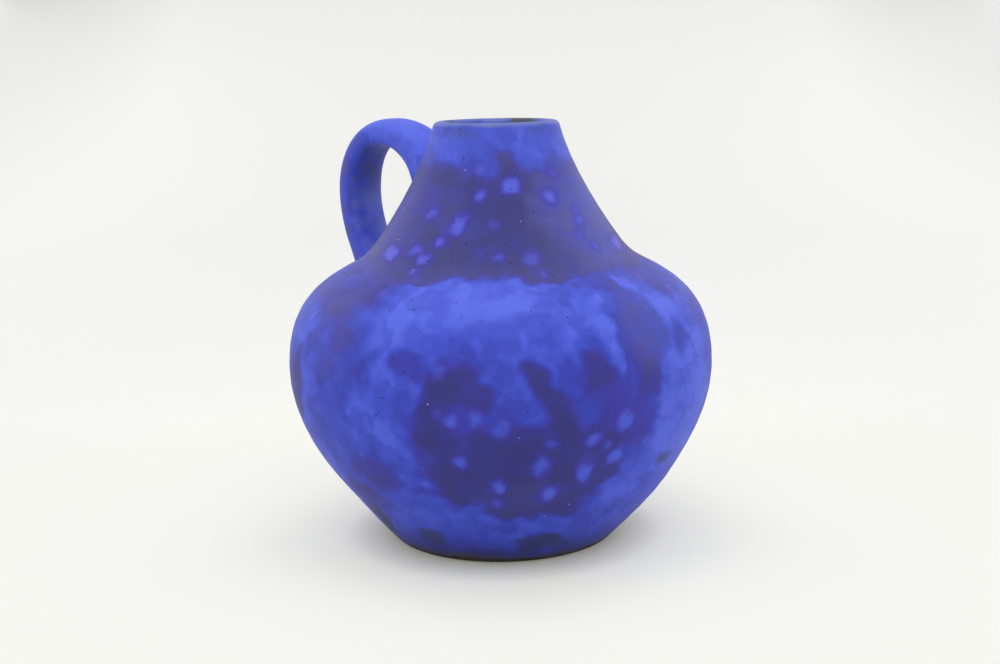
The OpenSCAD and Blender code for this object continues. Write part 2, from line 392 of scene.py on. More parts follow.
class TurnedSurface:
    """Geometry Nodes tree that turns an outline round the axis, with throwing marks and a slight sway."""

    # Inputs of the tree, by type
    FACE = {
        "Geometry": ("Outline",),
        "Int": ("Segments",),
        "Float": ("Mark Depth", "Mark Pitch", "Sway", "Sway Size", "Seed", "Lean Height", "Lean Reach"),
        "Vector": ("Lean",),
        "Material": ("Material",),
    }
    # What each point of an outline carries: its outward side, the run up to it and the weight of the marks
    COLUMNS = {"side": "FLOAT_VECTOR", "run": "FLOAT", "marks": "FLOAT"}
    # Inputs that leave a surface plain
    PLAIN = {
        "mark_depth": 0.0, "mark_pitch": 1.0, "sway": 0.0, "sway_size": 1.0, "seed": 0.0,
        "lean": (0.0, 0.0, 0.0), "lean_height": 0.0, "lean_reach": 1.0,
    }
    # Distance from the axis, in metres, at which the sway is whole
    FULL_SWAY = 0.02

    def __init__(self) -> None:
        """Builds the tree once for all the turned pieces."""
        self.tree = bpy.data.node_groups.new("turned_surface", "GeometryNodeTree")
        face = self.tree.interface
        face.new_socket(name="Surface", in_out="OUTPUT", socket_type="NodeSocketGeometry")
        self.inputs = {
            name: face.new_socket(name=name, in_out="INPUT", socket_type=f"NodeSocket{kind}").identifier
            for kind, names in self.FACE.items()
            for name in names
        }
        self._wire()

    def _wire(self) -> None:
        """Links the nodes: a grid of rings and steps is laid on the turned outline, then closed."""
        add = partial(add_node, self.tree)
        given = add("NodeGroupInput", out=None)
        outline, segments = given["Outline"], given["Segments"]
        rings = add("GeometryNodeAttributeDomainSize", outline, out="Point Count", component="MESH")
        columns = add(MATH, segments, 1.0, operation="ADD")
        grid = add("GeometryNodeMeshGrid", Vertices_X=columns, Vertices_Y=rings)
        index = add("GeometryNodeInputIndex")
        along = add(MATH, index, rings, operation="MODULO")
        step = add(MATH, add(MATH, index, rings, operation="DIVIDE"), operation="FLOOR")
        turn = add(MATH, add(MATH, step, segments, operation="DIVIDE"), math.tau, operation="MULTIPLY")
        around = [add(MATH, turn, operation=wave) for wave in ("COSINE", "SINE")]

        fields = {"place": (add("GeometryNodeInputPosition"), "FLOAT_VECTOR")}
        for name, kind in self.COLUMNS.items():
            column = add("GeometryNodeInputNamedAttribute", name, out="Attribute", data_type=kind)
            fields[name] = (column, kind)
        spot = {"Geometry": outline, "Index": along}
        sampled = {
            name: add("GeometryNodeSampleIndex", out="Value", Value=value, data_type=kind, **spot)
            for name, (value, kind) in fields.items()
        }
        at, side = (add("ShaderNodeSeparateXYZ", sampled[name], out=None) for name in ("place", "side"))
        flat = [add(MATH, at["X"], share, operation="MULTIPLY") for share in around]
        still = add("ShaderNodeCombineXYZ", *flat, at["Z"])

        # The sway moves every layer alike, because it depends on the place alone, and dies away at the axis
        scale = add(MATH, 1.0, given["Sway Size"], operation="DIVIDE")
        drift = add(NOISE, Vector=still, W=given["Seed"], Scale=scale, Detail=0.0, noise_dimensions="4D")
        centred = add(MATH, drift, 2.0, -1.0, operation="MULTIPLY_ADD")
        swayed = add(MATH, centred, given["Sway"], operation="MULTIPLY")
        near = add(MATH, at["X"], self.FULL_SWAY, operation="DIVIDE", use_clamp=True)
        wide = add(MATH, swayed, near, at["X"], operation="MULTIPLY_ADD")

        # The marks of the fingers climb one pitch in each turn
        cycles = add(MATH, sampled["run"], given["Mark Pitch"], operation="DIVIDE")
        phase = add(MATH, cycles, math.tau, turn, operation="MULTIPLY_ADD")
        mark = add(MATH, phase, operation="SINE")
        for gain in (given["Mark Depth"], drift, sampled["marks"]):
            mark = add(MATH, mark, gain, operation="MULTIPLY")
        radius = add(MATH, side["X"], mark, wide, operation="MULTIPLY_ADD")
        rise = add(MATH, side["Z"], mark, at["Z"], operation="MULTIPLY_ADD")
        spread = [add(MATH, radius, share, operation="MULTIPLY") for share in around]
        turned = add("ShaderNodeCombineXYZ", *spread, rise)

        # The wall slumped a little to one side at one height, as wet clay does
        level = add(MATH, at["Z"], given["Lean Height"], operation="SUBTRACT")
        far = add(MATH, level, given["Lean Reach"], operation="DIVIDE")
        fall = add(MATH, add(MATH, far, far, operation="MULTIPLY"), -1.0, operation="MULTIPLY")
        lean = add(VECTOR, given["Lean"], Scale=add(MATH, fall, operation="EXPONENT"), operation="SCALE")
        moved = add(VECTOR, turned, lean, operation="ADD")
        laid = add("GeometryNodeSetPosition", Geometry=grid, Position=moved)
        closed = add("GeometryNodeMergeByDistance", Geometry=laid, Distance=1e-6)
        soft = add("GeometryNodeSetShadeSmooth", Geometry=closed, Shade_Smooth=True)
        real = add("GeometryNodeRealizeInstances", Geometry=soft)
        dressed = add("GeometryNodeSetMaterial", Geometry=real, Material=given["Material"])
        add("NodeGroupOutput", dressed, out=None)

    def make(self, name: str, line: np.ndarray, marks: np.ndarray, **values: Any) -> bpy.types.Object:
        """Turns an outline into a plain mesh object.

        Args:
            name: Name of the piece.
            line: Rows of radius and height in millimetres; a closed outline repeats its first row.
            marks: Weight of the throwing marks at each row.
            **values: Inputs of the tree, by name with underscores, in metres where they are lengths.

        Returns:
            A linked object with the finished mesh, at the origin.
        """
        outline = bpy.data.meshes.new(f"{name}_outline")
        level = np.zeros(len(line))
        side = -left_of(line)
        points = np.stack([line[:, 0], level, line[:, 1]], axis=1) * MM
        outline.from_pydata(points.tolist(), [(i, i + 1) for i in range(len(line) - 1)], [])
        columns = (np.stack([side[:, 0], level, side[:, 1]], axis=1), lengths(line) * MM, marks)
        for (key, kind), column in zip(self.COLUMNS.items(), columns):
            layer = outline.attributes.new(key, kind, "POINT")
            store = "vector" if kind == "FLOAT_VECTOR" else "value"
            layer.data.foreach_set(store, column.astype(np.float32).ravel())
        seed = bpy.data.objects.new(f"{name}_outline", outline)
        link(seed)
        turn = seed.modifiers.new("turn", "NODES")
        turn.node_group = self.tree
        for key, value in (self.PLAIN | values).items():
            turn[self.inputs[key.replace("_", " ").title()]] = value
        graph = bpy.context.evaluated_depsgraph_get()
        mesh = bpy.data.meshes.new_from_object(seed.evaluated_get(graph), depsgraph=graph)
        mesh.name = name
        bpy.data.objects.remove(seed)
        bpy.data.meshes.remove(outline)
        return finished(name, mesh)


def finished(name: str, mesh: bpy.types.Mesh, crisp: float = 50.0) -> bpy.types.Object:
    """Points the faces of a closed mesh outwards, marks its crisp edges and links an object for it.

    Args:
        name: Name of the piece.
        mesh: The closed mesh.
        crisp: Angle in degrees from which an edge stays crisp.

    Returns:
        The linked object.
    """
    work = bmesh.new()
    work.from_mesh(mesh)
    bmesh.ops.recalc_face_normals(work, faces=work.faces)
    for face in work.faces:
        face.smooth = True
    work.to_mesh(mesh)
    work.free()
    mesh.set_sharp_from_angle(angle=math.radians(crisp))
    piece = bpy.data.objects.new(name, mesh)
    link(piece)
    return piece


def vertices_of(mesh: bpy.types.Mesh) -> np.ndarray:
    """Vertices of a mesh in millimetres.

    Args:
        mesh: The mesh.

    Returns:
        One row for each vertex.
    """
    flat = np.empty(len(mesh.vertices) * 3, dtype=np.float32)
    mesh.vertices.foreach_get("co", flat)
    return flat.reshape(-1, 3).astype(float) / MM


def write_fields(mesh: bpy.types.Mesh, **fields: Any) -> None:
    """Stores fields on a mesh.

    Args:
        mesh: The mesh.
        **fields: By name, a number for every vertex or one number for all.
    """
    for name, values in fields.items():
        column = np.broadcast_to(np.asarray(values, dtype=np.float32), len(mesh.vertices))
        layer = mesh.attributes.new(name, "FLOAT", "POINT")
        layer.data.foreach_set("value", np.ascontiguousarray(column))


def wandered(points: np.ndarray, waves: tuple[tuple[float, float], ...]) -> np.ndarray:
    """Points moved about by smooth noise, so that what is laid out on them gets uneven edges.

    Args:
        points: Rows of points in millimetres.
        waves: For each move, the distance over which the noise changes and about the most that a point moves.

    Returns:
        The moved points.
    """
    noise.seed_set(WANDER_SEED)
    for size, reach in waves:
        points = points + reach * np.array([noise.noise_vector(Vector(p) / size) for p in points])
    return points


@dataclass(frozen=True)
class Patch:
    """An oval of the glaze: angle from the front, height, half width and height, tone, soft edge and tilt."""

    angle: float
    z: float
    half_w: float
    half_h: float
    tone: float = 1.0
    edge: float = 3.0
    tilt: float = 0.0


@dataclass(frozen=True)
class GlazeLayout:
    """Where the glaze pooled thick and pale blue, where it stayed thin and dark, and where drops fell on it.

    Each field is a number for each vertex. The material breaks their edges up with noise.
    """

    outline: Silhouette
    # Heights and how pale the glaze is there, all the way round, from 0 to 1; the darker tones by the foot
    # are painted shade in part
    bands: tuple[tuple[float, float], ...] = (
        (0.0, 0.36), (8.0, 0.45), (13.0, 0.6), (24.0, 0.68), (48.0, 0.6), (75.0, 0.58), (86.0, 0.6),
        (92.0, 0.68), (98.5, 0.66), (101.0, 0.12), (106.0, 0.01), (122.0, 0.0), (133.0, 0.03), (137.5, 0.64),
        (147.0, 0.7), (150.0, 0.7),
    )
    # Clouds in the order in which they are laid: those on the side that faces the camera, then those behind
    clouds: tuple[Patch, ...] = (
        Patch(-62, 118, 16, 18, 0.2, 8), Patch(52, 118, 16, 20, 0.4, 8), Patch(-56, 97, 22, 11, 0.32),
        Patch(-68, 66, 12, 20, 0.78, 4), Patch(-78, 95, 14, 9, 0.3, 4), Patch(-43, 75, 9, 15, 0.44, 3, -6),
        Patch(-33, 60, 10, 20, 0.8, 2.5), Patch(-31, 82, 8, 14, 0.8), Patch(-3, 83, 24, 8, 0.74, 4),
        Patch(-14, 90, 20, 3.5, 0.94, 2.5), Patch(-6, 96.5, 31, 9.5, 0.93, 2.5),
        Patch(-46, 97, 8, 8, 0.16, 2.5), Patch(-53, 90, 9, 5, 0.25), Patch(21, 95, 10, 8, 0.7, 3, 20),
        Patch(57, 56, 19, 30, 0.96, 4), Patch(70, 96, 14, 9, 0.36), Patch(41, 86, 11, 12, 0.44),
        Patch(36, 85, 7, 8, 0.34), Patch(41, 97, 9, 6, 0.38), Patch(47, 97, 4, 3, 0.9, 1.5, 40),
        Patch(54, 89, 6, 8, 0.95, 3, -20), Patch(54, 79, 5, 6, 0.5, 4), Patch(38, 32, 8, 8, 0.88, 2.5, -35),
        Patch(-38, 37, 11, 7.5, 0.22), Patch(-24, 40, 5, 8, 0.78, 2, 10), Patch(30, 63, 13, 18, 0.28),
        Patch(39, 54, 4, 8, 0.3, 2.5), Patch(41, 70, 5, 7, 0.1, 2, 8), Patch(23, 73, 6, 8, 0.1, 2),
        Patch(24, 41, 10, 16, 0.07, 2, 22), Patch(0, 42, 27, 13, 0.02, 2), Patch(-13, 53, 14, 9, 0.03, 2.5),
        Patch(-12, 66, 10, 11, 0.04, 2.5), Patch(10.5, 27, 17, 6.5, 0.02, 1.5),
        Patch(-12, 31.5, 12, 4, 0.02, 1.8, 5), Patch(14, 56, 14, 11, 0.05),
        Patch(10.5, 68, 5.5, 11, 0.04, 1.6, -32), Patch(-24, 76, 7, 6, 0.28, 2),
        Patch(-6, 76, 4, 7, 0.36, 2, -20), Patch(-36, 74, 4, 7, 0.42, 2.5),
        Patch(-6, 70, 4, 8, 0.06, 1.5, -28), Patch(2, 69, 3.8, 12, 0.62, 1.3, -30),
        Patch(7, 61, 4, 4.5, 0.6, 2, -30), Patch(16.5, 74, 3, 7, 0.56, 1.6, -18),
        Patch(21, 61, 5, 5, 0.42, 2.5), Patch(34, 69, 1.6, 7, 0.5, 1.6, 5),
        Patch(-9, 59, 6, 3.5, 0.42, 2.5), Patch(0, 57, 3.2, 4, 0.44, 2), Patch(-23, 68, 3, 5, 0.62, 2),
        Patch(28.5, 82, 3.6, 9, 0.92, 1.6, -8), Patch(26, 91, 6, 5, 0.97, 2),
        Patch(20, 89, 5, 4, 0.88, 2.5), Patch(18, 99.5, 4, 2.5, 0.9, 1.5),
        Patch(-28, 99.5, 4, 2.5, 0.95, 1.5), Patch(-50, 25, 9, 6.5, 0.15),
        Patch(-55, 16, 5, 13, 0.12, 3, 18), Patch(11, 134, 6, 8, 0.02, 1.8), Patch(32, 136, 6, 3, 0.6, 1.5),
        Patch(-24, 137, 5, 3, 0.35, 2), Patch(43, 138, 5, 3.5, 0.35, 2), Patch(-40, 143, 12, 6, 0.86, 4),
        Patch(36, 143, 12, 6, 0.84, 4), Patch(120, 58, 30, 20, 0.06, 3, 15),
        Patch(114, 66, 4.5, 12, 0.62, 1.6, -28), Patch(131, 50, 7, 4, 0.5, 2, 20),
        Patch(92, 84, 20, 10, 0.3, 4), Patch(165, 94, 36, 10, 0.92, 2.5),
        Patch(150, 72, 12, 16, 0.2, 3, -20), Patch(185, 48, 30, 15, 0.04, 2.5, -8),
        Patch(178, 66, 9, 12, 0.05, 2.5, 25), Patch(205, 80, 10, 16, 0.72, 4),
        Patch(232, 66, 16, 24, 0.34, 4), Patch(255, 40, 24, 12, 0.08, 3, 10), Patch(248, 93, 18, 9, 0.84),
        Patch(290, 62, 9, 14, 0.12, 3, 12),
    )
    # Places where a dull grey veil covers the glaze, and how much: a real bloom in part, and on the sides of
    # the neck and of the shoulder a painted sheen
    blooms: tuple[Patch, ...] = (
        Patch(0, 118, 12, 22, 0.4, 8), Patch(-50, 116, 14, 18, 1.5, 8), Patch(48, 116, 14, 20, 4, 9),
        Patch(43, 86, 12, 15, 2.4, 6), Patch(-50, 84, 12, 15, 1.4, 5), Patch(6, 30, 14, 8, 0.6, 4),
        Patch(120, 92, 30, 14, 1.4, 6), Patch(215, 90, 22, 12, 1.4, 6),
    )
    # Pale drops: those on the neck, then those on the belly
    drops: tuple[Patch, ...] = (
        Patch(9, 129, 2.2, 2.2), Patch(-11, 126, 1.6, 1.6, 0.8), Patch(33, 125, 2.2, 2.1),
        Patch(-21, 117, 2, 3.4, 1, 3, 35), Patch(-28, 112, 1.6, 1.5, 0.9), Patch(-39, 120, 1.4, 1.4, 0.8),
        Patch(-56, 107, 3.6, 2.6), Patch(-34, 106, 2.4, 2.2, 0.9), Patch(-40, 108.5, 2, 1.6, 0.7),
        Patch(-35, 102, 1.6, 1.4, 0.8), Patch(14, 106, 2.6, 2, 0.5), Patch(-1, 107, 1.3, 1.3, 0.7),
        Patch(17, 102, 1.3, 1.2, 0.7), Patch(70, 107.5, 3.2, 2.4, 0.9), Patch(50, 108, 1.4, 1.4, 0.8),
        Patch(48, 120, 1, 1, 0.7), Patch(48, 117, 1.4, 1.3, 0.8), Patch(42, 133, 1.4, 1.3, 0.8),
        Patch(-12, 134.5, 1.2, 1.2, 0.6), Patch(48, 98, 2, 1.8, 0.7), Patch(43, 113, 0.8, 0.8, 0.7),
        Patch(32, 56, 3, 3, 0.9), Patch(31, 44, 2.5, 2.6), Patch(28, 48, 1.4, 1.4, 0.6),
        Patch(22, 39, 2.1, 3.4, 0.9), Patch(10, 43, 1.9, 3.2, 0.8), Patch(13, 32, 2.6, 2.6),
        Patch(-1, 35, 2.5, 2.5), Patch(-2, 29, 1, 1.1, 0.8), Patch(-11, 45, 2, 2, 0.8),
        Patch(-6, 60, 2.6, 2.4, 0.7), Patch(-12, 59, 2, 2, 0.8), Patch(0, 57, 2.6, 2.6, 0.5),
        Patch(12, 51, 0.9, 0.9, 0.7), Patch(40, 48, 1.2, 1.2, 0.6), Patch(23, 51, 2, 2, 0.8),
        Patch(-15, 75, 2, 2, 0.5), Patch(-22, 69, 2, 2, 0.7), Patch(-56, 81, 1.6, 1.6, 0.6),
    )
    # Places where the glaze crawled back from the clay near the foot, and one chip
    scorches: tuple[Patch, ...] = (
        Patch(-30, 10, 6.5, 4.6), Patch(17, 9, 8.5, 3.6), Patch(-53, 13, 2.2, 6.5, 0.8, 3, 30),
        Patch(-8, 5, 9, 1.6, 0.7), Patch(51.5, 36.5, 2.8, 1.3, 1, 3, 25), Patch(150, 9, 7, 3),
        Patch(215, 7, 8, 2.4, 0.8), Patch(100, 6, 5, 2.2, 0.7),
    )
    # Places on the lip, at the foot and round the chip where the glaze ran thin and turned olive
    olives: tuple[Patch, ...] = (
        Patch(148, 149.6, 6, 2, 0.85, 1), Patch(250, 148, 6, 1.6, 0.4, 0.8),
        Patch(-34, 146.8, 6, 1.6, 0.3, 1.6), Patch(32, 147.2, 7, 1.3, 0.15, 1.3),
        Patch(-17, 3.2, 7, 1.6, 0.8, 1), Patch(52, 37, 3.4, 1, 0.4, 1, 15),
    )
    # Height and tone of the olive edge at the foot, and how fast per millimetre the dark above it fades:
    # glaze run thin by the foot, deepened with painted shade
    olive_foot: float = 1.2
    olive_tone: float = 0.8
    foot_shade_fade: float = 0.3
    # How the edges of drops and of clouds wander
    drop_waves: tuple[tuple[float, float], ...] = ((4.5, 1.0),)
    cloud_waves: tuple[tuple[float, float], ...] = ((15.0, 2.5), (6.5, 3.0), (3.5, 1.3))
    # Heights between which the grey veil of bloom and painted sheen sets in on the neck and then under the
    # lip, and how much more there
    neck_veil: tuple[float, float] = (93.0, 103.0)
    lip_veil: tuple[float, float] = (132.0, 140.0)
    lip_veil_gain: float = 1.4
    # Distances below the top of the lip between which its grey sets in: thin worn glaze on the crest, with a
    # painted highlight along it
    lip_wear_and_highlight: tuple[float, float] = (2.8, 0.2)
    # Share of chance at the front, and the angles from it between which chance takes over
    front_free: float = 0.12
    free_turn: tuple[float, float] = (75.0, 110.0)
    # Shares of the strap's length over which its back turns dull, and its inside turns dark with painted
    # shade under the arch and pale again
    strap_dull: tuple[float, float] = (0.28, 0.5)
    strap_dark: tuple[float, float] = (0.3, 0.45)
    strap_dark_end: tuple[float, float] = (0.56, 0.92)

    def depth(self, points: np.ndarray, patch: Patch) -> np.ndarray:
        """Millimetres over the surface by which points lie inside the edge of a patch, negative outside it.

        Args:
            points: Vertices in millimetres.
            patch: The patch.

        Returns:
            One number for each point.
        """
        radius = self.outline.radius_at(np.clip(points[:, 2], 0, self.outline.height))
        across = np.radians(from_front(points, patch.angle)) * radius
        up = self.outline.run_at(points[:, 2]) - self.outline.run_at(np.array(patch.z))
        c, s = toward(patch.tilt)
        inside = 1 - np.hypot((across * c - up * s) / patch.half_w, (across * s + up * c) / patch.half_h)
        return inside * min(patch.half_w, patch.half_h)

    def laid(self, points: np.ndarray, field: np.ndarray, patches: tuple[Patch, ...]) -> np.ndarray:
        """Lays patches over a field in their order.

        Args:
            points: Vertices in millimetres.
            field: A number for each of them.
            patches: Patches with the number that each brings.

        Returns:
            The new field.
        """
        for patch in patches:
            field = field + (patch.tone - field) * smooth(-patch.edge, patch.edge, self.depth(points, patch))
        return field

    def nearest(self, points: np.ndarray, patches: tuple[Patch, ...]) -> tuple[np.ndarray, np.ndarray]:
        """Distance into the nearest patch and its tone.

        Args:
            points: Vertices in millimetres.
            patches: Patches to look among.

        Returns:
            Millimetres inside the edge, negative outside it, and the tone.
        """
        depth = np.full(len(points), FAR_OFF)
        tone = np.zeros(len(points))
        for patch in patches:
            inside = self.depth(points, patch)
            closer = inside > depth
            depth = np.where(closer, inside, depth)
            tone = np.where(closer, patch.tone, tone)
        return depth, tone

    def paint(self, mesh: bpy.types.Mesh) -> None:
        """Stores the layout on the turned glaze.

        Args:
            mesh: The glaze of the body.
        """
        points = vertices_of(mesh)
        uneven = wandered(points, self.drop_waves)
        ragged = wandered(points, self.cloud_waves)
        drop, drop_gain = self.nearest(uneven, self.drops)
        scorch, _ = self.nearest(ragged, self.scorches)
        olive_top = self.outline.glaze_low + self.olive_foot
        olive = self.olive_tone * smooth(-self.olive_foot, self.olive_foot, olive_top - ragged[:, 2])
        for patch in self.olives:
            olive = np.maximum(olive, patch.tone * smooth(-patch.edge, patch.edge, self.depth(uneven, patch)))
        heights, tones = np.array(self.bands).T
        neck, lip = (smooth(*reach, ragged[:, 2]) for reach in (self.neck_veil, self.lip_veil))
        wear_highlight_low, wear_highlight_high = (self.outline.height - below for below in self.lip_wear_and_highlight)
        behind = smooth(*self.free_turn, np.abs(from_front(points)))
        write_fields(
            mesh,
            cloud=self.laid(ragged, np.interp(ragged[:, 2], heights, tones), self.clouds),
            drop=drop,
            drop_gain=drop_gain,
            # painted shade: toward the foot the scorch colour darkens the glaze, fading upward
            scorch=np.maximum(scorch, 1.0 - self.foot_shade_fade * points[:, 2]),
            olive=olive,
            free=self.front_free + (1 - self.front_free) * behind,
            # the lip's crest greyed: thin worn glaze, with a painted highlight
            worn=smooth(wear_highlight_low, wear_highlight_high, points[:, 2]),
            bloom=self.laid(ragged, neck + self.lip_veil_gain * lip, self.blooms),
        )

    def paint_strap(self, mesh: bpy.types.Mesh, along: np.ndarray, face: np.ndarray) -> None:
        """Stores the layout on the strap: pale by the neck, dull lower down, painted shade and a painted
        highlight inside the loop.

        Args:
            mesh: The glazed strap.
            along: Place of each vertex from the neck, 0, to the shoulder, 1.
            face: 1 on the back of the strap, -1 inside the loop and 0 on its sides, for each vertex.
        """
        inside = smooth(0.0, 0.8, -face)
        under_arch = inside * smooth(*self.strap_dark, along) * (1 - smooth(*self.strap_dark_end, along))
        lower_back = smooth(*self.strap_dull, along) * (1 - inside)
        write_fields(
            mesh,
            # painted shade: the inside of the loop, and most of all under the arch, is darker
            cloud=1.02 - 0.14 * inside - 0.18 * under_arch - 0.42 * lower_back,
            drop=FAR_OFF,
            drop_gain=0.0,
            # painted shade: the dark scorch colour under the arch
            scorch=FAR_OFF + 8.6 * under_arch,
            olive=0.0,
            free=0.25,
            # painted highlight: the inside of the loop greyed with the lip's pale grey
            worn=0.84 * inside,
            bloom=0.5 + 4.5 * lower_back,
        )


@dataclass(frozen=True)
class MatteCobaltGlaze:
    """Stoneware dipped in a matte cobalt glaze: dull crystals that scatter light, so no sharp reflections.

    The eye sees a dark violet coat, pale blue clouds and drops where it pooled, pinholes, a worn lip with a
    painted highlight, painted shade low down and a painted sheen on the sides.
    """

    thin: str = "#3b3a86"
    violet: str = "#423eae"
    middle: str = "#3e4ac4"
    thick: str = "#4b5cde"
    pale: str = "#5d6ff0"
    halo: str = "#453db6"
    drop: str = "#5467e6"
    lilac: str = "#6a69e0"
    pinhole: str = "#23244a"
    speck: str = "#8a92d6"
    # Grey veil of the bloom, partly a painted sheen on the sides of the neck and shoulder
    bloom: str = "#8688a4"
    # Grey of the worn lip crest, also a painted highlight there and inside the strap
    worn: str = "#8290b8"
    olive: str = "#55573f"
    # Dark navy of scorched glaze, also painted shade by the foot and under the strap's arch
    scorched: str = "#30354c"
    rough: float = 0.55
    # Radius and soft edge of pinholes and specks in millimetres, and the share of cells that have none
    dot_r: float = 0.34
    dot_edge: float = 0.12
    dot_free: float = 0.5

    def material(self) -> bpy.types.Material:
        """Builds the material.

        Returns:
            The node material.
        """
        made, shader, add, here = new_material("matte_cobalt_glaze")
        layout = {
            name: add("ShaderNodeAttribute", out="Fac", attribute_name=name)
            for name in ("cloud", "drop", "drop_gain", "scorch", "olive", "free", "worn", "bloom")
        }

        # Clouds 26 mm across, their ragged edges of 9 mm, a mottle of 4 mm and crystals of 1.6 mm
        noises = {
            name: add(NOISE, Vector=here, Scale=per_mm(size), Detail=detail, Roughness=0.55)
            for name, size, detail in (
                ("broad", 26.0, 2.0), ("ragged", 9.0, 1.5), ("mottle", 4.0, 1.5), ("grain", 1.6, 3.0)
            )
        }
        # Thin lines that the fingers left round the wall, 2.6 mm apart
        drawn = add("ShaderNodeMapping", Vector=here, Scale=(0.12, 0.12, 1.0))
        noises["rings"] = add(NOISE, Vector=drawn, Scale=per_mm(2.6), Detail=2.0)
        # Dabs 7 mm across, each with a tone of its own, their edges bent by noise
        bent = add(NOISE, out=1, Vector=here, Scale=per_mm(5.0), Detail=2.0)
        bent = add(VECTOR, bent, (0.5, 0.5, 0.5), operation="SUBTRACT")
        bent = add(VECTOR, bent, (7 * MM, 7 * MM, 7 * MM), here, operation="MULTIPLY_ADD")
        dabs = add(CELLS, out="Color", Vector=bent, Scale=per_mm(7.0), Smoothness=0.3, feature="SMOOTH_F1")
        noises["dabs"] = add("ShaderNodeSeparateColor", dabs)
        centred = {name: add(MATH, value, 0.5, operation="SUBTRACT") for name, value in noises.items()}
        loose = add(MATH, layout["free"], 1.1, operation="MULTIPLY")
        broad = add(MATH, centred["broad"], loose, layout["cloud"], operation="MULTIPLY_ADD")
        uneven = 0.0
        gains = (("ragged", 0.4), ("dabs", 0.26), ("mottle", 0.22), ("grain", 0.1), ("rings", 0.07))
        for name, gain in gains:
            uneven = add(MATH, centred[name], gain, uneven, operation="MULTIPLY_ADD")
        # The thin dark glaze is more even than the thick
        liveliness = add(RANGE, broad, 0.05, 0.5, 0.4)
        cloudy = add(MATH, uneven, liveliness, broad, operation="MULTIPLY_ADD", use_clamp=True)

        # Drops: those that were placed, then pale ones in cells of 9 mm and faint ones in cells of 8 mm.
        # For each kind, millimetres into a drop and how pale it is
        kinds = [(layout["drop"], layout["drop_gain"])]
        for cell, least, smallest, largest, paleness in (
            (9.0, 0.3, -2.5, 3.6, layout["free"]),
            (8.0, 0.4, -5.0, 1.6, 0.45),
        ):
            cells = add(CELLS, out=None, Vector=here, Scale=per_mm(cell))
            luck = add("ShaderNodeSeparateColor", cells["Color"])
            reach = add(RANGE, luck, least, 1.0, smallest, largest)
            kinds.append((add(MATH, cells["Distance"], -cell, reach, operation="MULTIPLY_ADD"), paleness))
        most = {"core": 0.0, "halo": 0.0}
        for into, paleness in kinds:
            for name, gain in (("ragged", 2.6), ("mottle", 2.8), ("grain", 1.2)):
                into = add(MATH, centred[name], gain, into, operation="MULTIPLY_ADD")
            for part, low, high in (("core", -1.4, 1.5), ("halo", -3.0, 0.2)):
                share = add(RANGE, into, low, high, interpolation_type="SMOOTHSTEP")
                share = add(MATH, share, paleness, operation="MULTIPLY")
                most[part] = add(MATH, most[part], share, operation="MAXIMUM")
        core = most["core"]
        colour = add("ShaderNodeValToRGB", cloudy)
        tones = (self.thin, self.violet, self.middle, self.thick, self.pale)
        set_ramp(colour.node, *zip((0.0, 0.27, 0.5, 0.77, 1.0), tones))
        dark = add(MATH, 1.0, cloudy, operation="SUBTRACT")
        halo = add(MATH, most["halo"], dark, operation="MULTIPLY")
        bare_tone = add(MATH, dark, core, operation="SUBTRACT", use_clamp=True)
        veil = add(MATH, bare_tone, layout["bloom"], operation="MULTIPLY")
        veil = add(MATH, veil, 0.11, operation="MULTIPLY")
        # On the neck, under the bloom and painted sheen, the drops are lilac
        dull = add(RANGE, layout["bloom"], 0.0, 1.0, 0.0, 0.7)
        ends = {"A": linear(self.drop), "B": linear(self.lilac)}
        fresh = add(MIX, out="Result", Factor=dull, data_type="RGBA", **ends)

        # Pinholes 0.3 to 0.7 mm across and pale specks, a little coarser than life so that they show
        dots = {}
        for name, cell in (("pinhole", 2.5), ("speck", 4.4)):
            points = add(CELLS, out=None, Vector=here, Scale=per_mm(cell))
            chance = add("ShaderNodeSeparateColor", points["Color"], out=1)
            size = add(RANGE, chance, self.dot_free, 1.0, 0.0, self.dot_r / cell)
            into = add(MATH, size, points["Distance"], operation="SUBTRACT")
            edge = self.dot_edge / cell
            dots[name] = add(RANGE, into, -edge, edge, interpolation_type="SMOOTHSTEP")
        # Scorched places, the painted shade by the foot and under the strap's arch, and the rubbed lip with
        # its painted highlight, all with ragged edges
        bare = add(MATH, centred["ragged"], 4.0, layout["scorch"], operation="MULTIPLY_ADD")
        bare = add(RANGE, bare, -2.6, 1.6, 0.0, 0.74, interpolation_type="SMOOTHSTEP")
        rub_highlight_share = add(MATH, centred["ragged"], 1.2, layout["worn"], operation="MULTIPLY_ADD")
        rub_highlight_share = add(RANGE, rub_highlight_share, 0.4, 1.15, 0.0, 0.6, interpolation_type="SMOOTHSTEP")
        for share, paint in (
            (veil, linear(self.bloom)),
            (halo, linear(self.halo)),
            (core, fresh),
            (dots["speck"], linear(self.speck)),
            (rub_highlight_share, linear(self.worn)),
            (layout["olive"], linear(self.olive)),
            (bare, linear(self.scorched)),
            (dots["pinhole"], linear(self.pinhole)),
        ):
            colour = add(MIX, out="Result", Factor=share, A=colour, B=paint, data_type="RGBA")

        # Relief: drops stand 0.05 mm proud, pinholes are pits and the crystals a fine tooth
        tooth = add(MATH, noises["grain"], 0.35, core, operation="MULTIPLY_ADD")
        pitted = add(MATH, dots["pinhole"], -2.5, tooth, operation="MULTIPLY_ADD")
        look = {
            "Base Color": colour,
            "Roughness": add(MATH, centred["grain"], 0.25, self.rough, operation="MULTIPLY_ADD"),
            "IOR": 1.5,
            "Specular IOR Level": 0.25,
            "Sheen Weight": 0.03,
            "Sheen Roughness": 0.35,
            "Normal": add("ShaderNodeBump", Height=pitted, Strength=0.6, Distance=0.12 * MM),
        }
        feed(shader, look)
        return made


